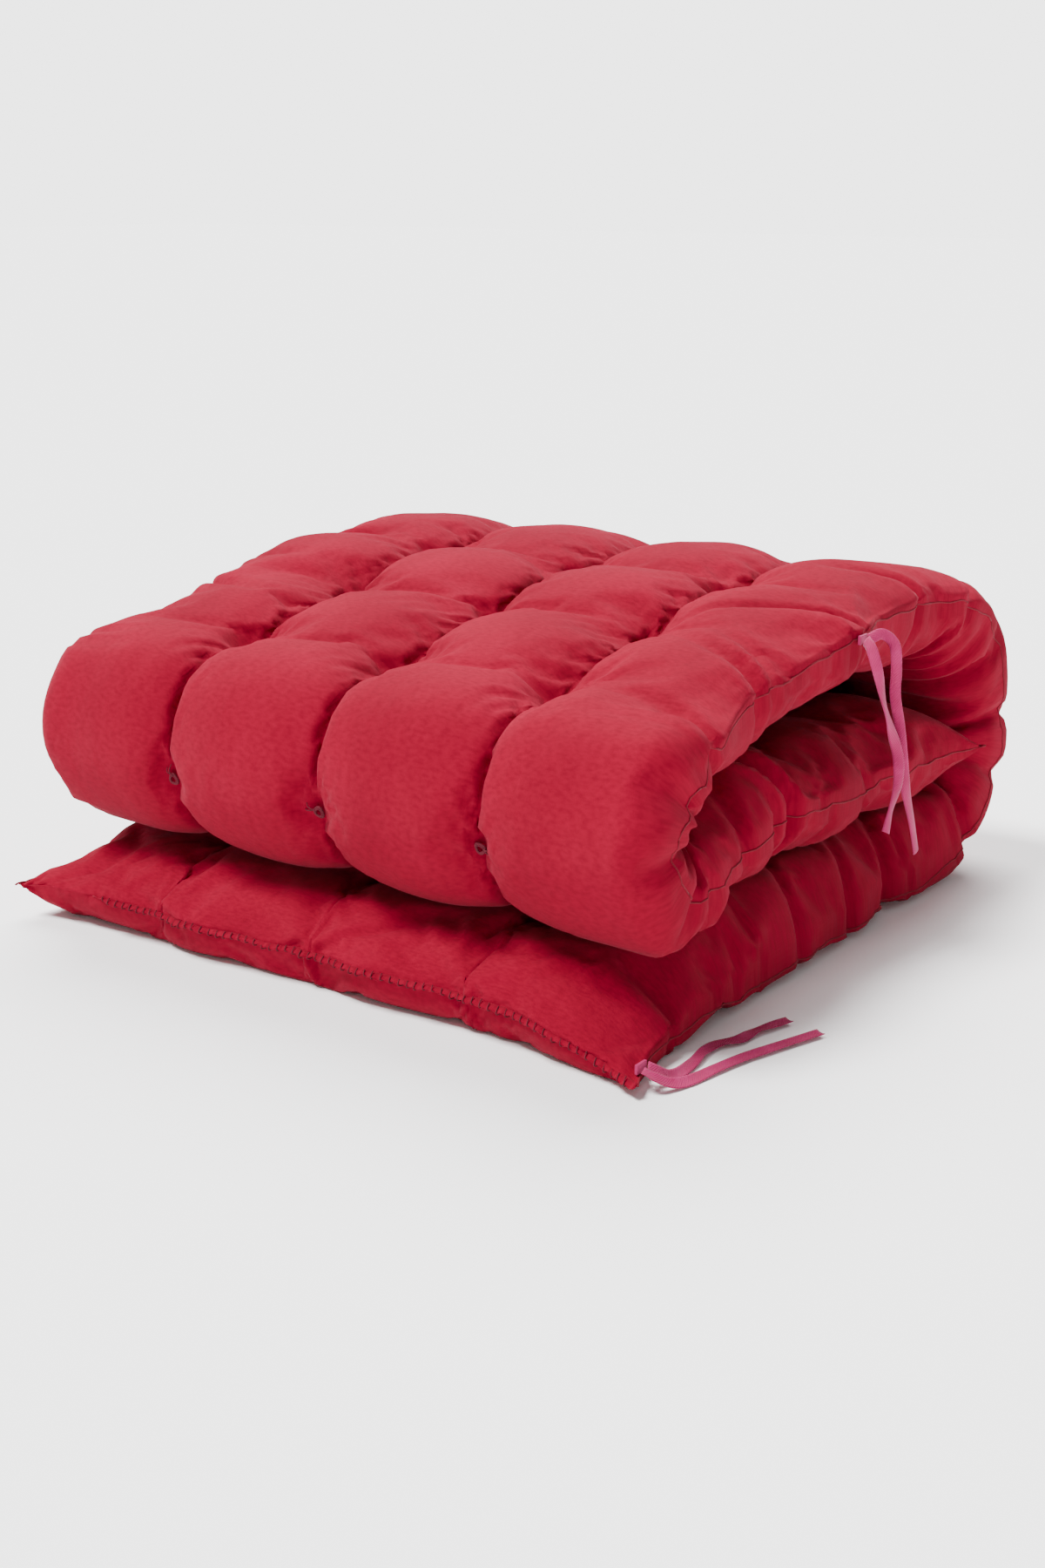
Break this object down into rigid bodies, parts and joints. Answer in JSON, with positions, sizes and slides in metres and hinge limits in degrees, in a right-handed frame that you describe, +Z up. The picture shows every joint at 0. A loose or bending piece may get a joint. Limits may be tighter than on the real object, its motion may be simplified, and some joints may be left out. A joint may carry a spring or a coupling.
{
  "type": "folded futon mattress",
  "caption": "Long tufted cotton floor mattress folded in three layers, a padded cover of two panels closed round cotton batting, with tape ties at one side seam and one corner.",
  "frame": {"origin": "centre of the folded mattress's footprint on the floor, ties left out", "axes": "+Z up, the free edge of the base at -Y, the back curl at +Y, the side with the ties at +X"},
  "size_m": [0.7727, 0.74, 0.335],
  "materials": {
    "cover_outer": "matte woven cotton",
    "cover_inner": "matte woven cotton",
    "batting": "loose cotton batting",
    "tufting_thread": "twisted cotton thread",
    "tie_tape": "woven cotton tape"
  },
  "bodies": {
    "base": {"base_batting": "batting", "base_cover_inner": "cover_inner", "base_cover_outer": "cover_outer", "corner_tie_tack": "tie_tape", "corner_tie_tail_1": "tie_tape", "corner_tie_tail_2": "tie_tape"},
    "back_1": {"back_1_batting": "batting", "back_1_cover_inner": "cover_inner", "back_1_cover_outer": "cover_outer", "back_1_tuft_1_1": "tufting_thread", "back_1_tuft_1_2": "tufting_thread", "back_1_tuft_1_3": "tufting_thread"},
    "back_2": {"back_2_batting": "batting", "back_2_cover_inner": "cover_inner", "back_2_cover_outer": "cover_outer", "back_2_tuft_1_1": "tufting_thread", "back_2_tuft_1_2": "tufting_thread", "back_2_tuft_1_3": "tufting_thread"},
    "back_3": {"back_3_batting": "batting", "back_3_cover_inner": "cover_inner", "back_3_cover_outer": "cover_outer"},
    "top": {"side_tie_tack": "tie_tape", "side_tie_tail_1": "tie_tape", "side_tie_tail_2": "tie_tape", "top_batting": "batting", "top_cover_inner": "cover_inner", "top_cover_outer": "cover_outer", "top_tuft_1_1": "tufting_thread", "top_tuft_1_2": "tufting_thread", "top_tuft_1_3": "tufting_thread", "top_tuft_2_1": "tufting_thread", "top_tuft_2_2": "tufting_thread", "top_tuft_2_3": "tufting_thread", "top_tuft_3_1": "tufting_thread", "top_tuft_3_2": "tufting_thread", "top_tuft_3_3": "tufting_thread", "top_tuft_4_1": "tufting_thread", "top_tuft_4_2": "tufting_thread", "top_tuft_4_3": "tufting_thread"},
    "front_1": {"front_1_batting": "batting", "front_1_cover_inner": "cover_inner", "front_1_cover_outer": "cover_outer"},
    "front_2": {"front_2_batting": "batting", "front_2_cover_inner": "cover_inner", "front_2_cover_outer": "cover_outer", "front_2_tuft_1_1": "tufting_thread", "front_2_tuft_1_2": "tufting_thread", "front_2_tuft_1_3": "tufting_thread"},
    "front_3": {"front_3_batting": "batting", "front_3_cover_inner": "cover_inner", "front_3_cover_outer": "cover_outer"},
    "inner": {"inner_batting": "batting", "inner_cover_inner": "cover_inner", "inner_cover_outer": "cover_outer"}
  },
  "joints": [
    {"name": "back_fold", "type": "hinge", "parent": "base", "child": "back_1", "pos_m": [0, 0.2512, 0.046], "axis": [-1, 0, 0], "range_deg": [0, 45]},
    {"name": "back_fold_2", "type": "hinge", "parent": "back_1", "child": "back_2", "pos_m": [0, 0.3217, 0.1165], "axis": [-1, 0, 0], "range_deg": [0, 45]},
    {"name": "back_fold_3", "type": "hinge", "parent": "back_2", "child": "back_3", "pos_m": [0, 0.3217, 0.2162], "axis": [-1, 0, 0], "range_deg": [0, 45]},
    {"name": "back_fold_4", "type": "hinge", "parent": "back_3", "child": "top", "pos_m": [0, 0.2512, 0.2867], "axis": [-1, 0, 0], "range_deg": [0, 45]},
    {"name": "front_fold", "type": "hinge", "parent": "top", "child": "front_1", "pos_m": [0, -0.26132, 0.2867], "axis": [-1, 0, 0], "range_deg": [0, 45], "deforming": ["front_1_batting", "front_1_cover_inner", "front_1_cover_outer", "front_2_batting", "front_2_cover_inner", "front_2_cover_outer", "front_2_tuft_1_1", "front_2_tuft_1_2", "front_2_tuft_1_3", "front_3_batting", "front_3_cover_inner", "front_3_cover_outer", "inner_batting", "inner_cover_inner", "inner_cover_outer"]},
    {"name": "front_fold_2", "type": "hinge", "parent": "front_1", "child": "front_2", "pos_m": [0, -0.304, 0.24402], "axis": [-1, 0, 0], "range_deg": [0, 45]},
    {"name": "front_fold_3", "type": "hinge", "parent": "front_2", "child": "front_3", "pos_m": [0, -0.304, 0.18368], "axis": [-1, 0, 0], "range_deg": [0, 45]},
    {"name": "front_fold_4", "type": "hinge", "parent": "front_3", "child": "inner", "pos_m": [0, -0.26132, 0.141], "axis": [-1, 0, 0], "range_deg": [0, 45]}
  ],
  "couplings": [
    {"joint": "back_fold_2", "follows": "back_fold", "ratio": 1},
    {"joint": "back_fold_3", "follows": "back_fold", "ratio": 1},
    {"joint": "back_fold_4", "follows": "back_fold", "ratio": 1},
    {"joint": "front_fold_2", "follows": "front_fold", "ratio": 1},
    {"joint": "front_fold_3", "follows": "front_fold", "ratio": 1},
    {"joint": "front_fold_4", "follows": "front_fold", "ratio": 1}
  ]
}
